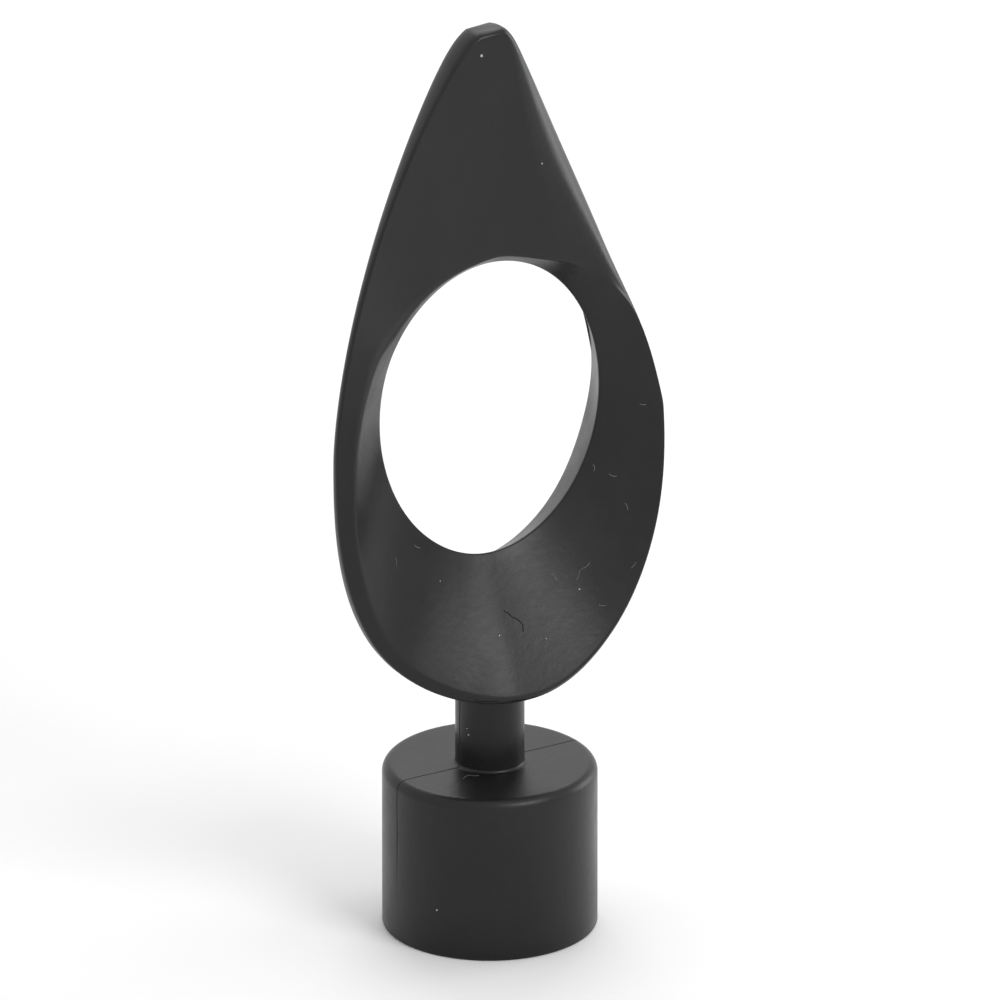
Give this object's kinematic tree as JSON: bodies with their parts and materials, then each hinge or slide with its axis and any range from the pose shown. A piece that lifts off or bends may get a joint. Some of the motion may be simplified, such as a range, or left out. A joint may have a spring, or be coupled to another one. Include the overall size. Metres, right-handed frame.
{
  "type": "curtain pole finial",
  "caption": "Cast curtain pole finial: a teardrop head pierced by a flared oval eye, on a round neck above a cap that slips over the end of the pole.",
  "frame": {"origin": "centre of the socket's open mouth, where the pole enters", "axes": "+Z along the pole's axis, from the socket's mouth to the tip of the head; X lies in the casting's parting plane, across the head's width; -Y is the side that shows"},
  "size_m": [0.0543, 0.032, 0.1426],
  "materials": {
    "casting": "satin black paint on a cast metal"
  },
  "bodies": {
    "root": {"finial": "casting"}
  },
  "joints": []
}
